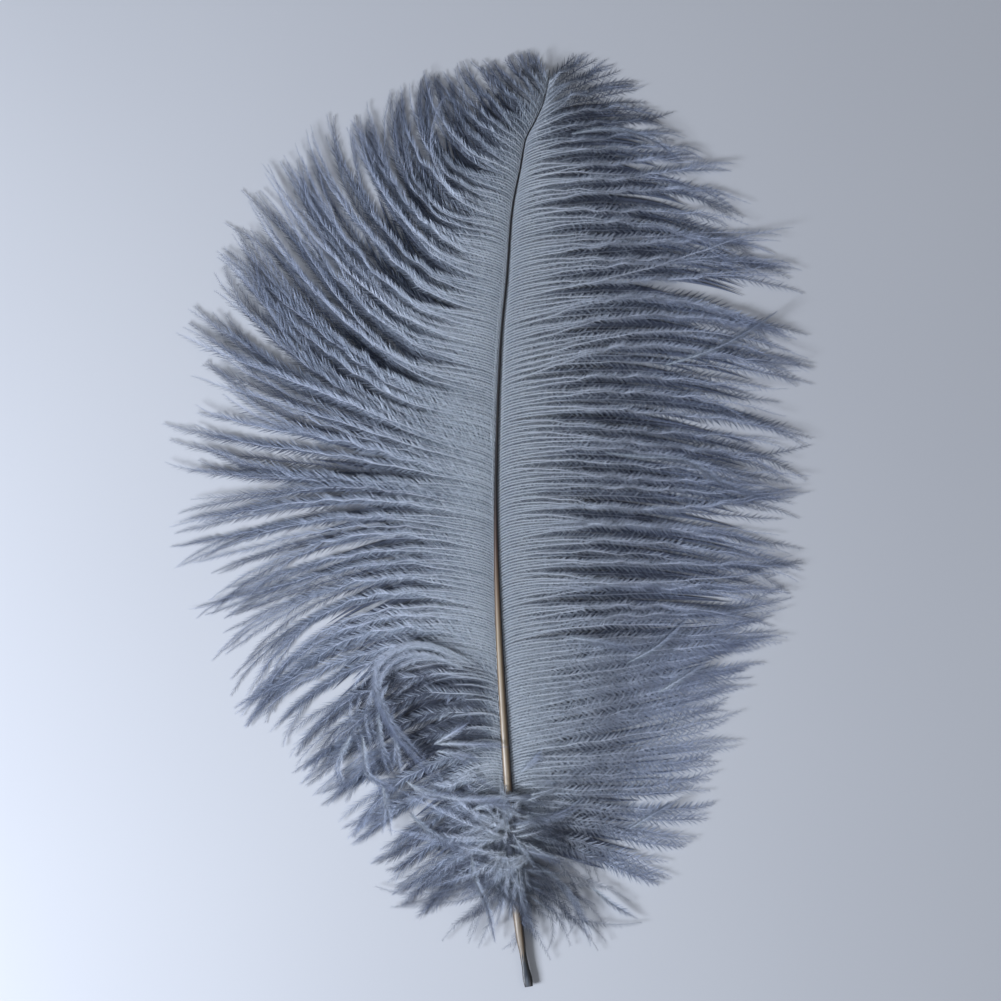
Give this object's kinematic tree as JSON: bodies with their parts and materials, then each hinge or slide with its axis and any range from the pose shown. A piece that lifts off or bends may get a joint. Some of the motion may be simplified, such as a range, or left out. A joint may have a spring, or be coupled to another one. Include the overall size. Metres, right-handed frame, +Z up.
{
  "type": "ostrich feather",
  "caption": "Dyed ostrich plume lying flat: a bare quill, a thinning shaft and soft vanes gathered into long drooping locks.",
  "frame": {"origin": "on the surface the feather lies on, under the middle of its outline", "axes": "+Y from the quill end to the tip, +X towards the right vane seen from above, +Z up out of the surface"},
  "size_m": [0.2546, 0.3852, 0.0082],
  "materials": {
    "barbs": "soft matt dyed down, slate grey with a silver sheen along the barbs",
    "shaft": "dry horn, tan at the quill and dyed near black towards the tip"
  },
  "bodies": {
    "root": {"feather": "barbs"}
  },
  "joints": []
}
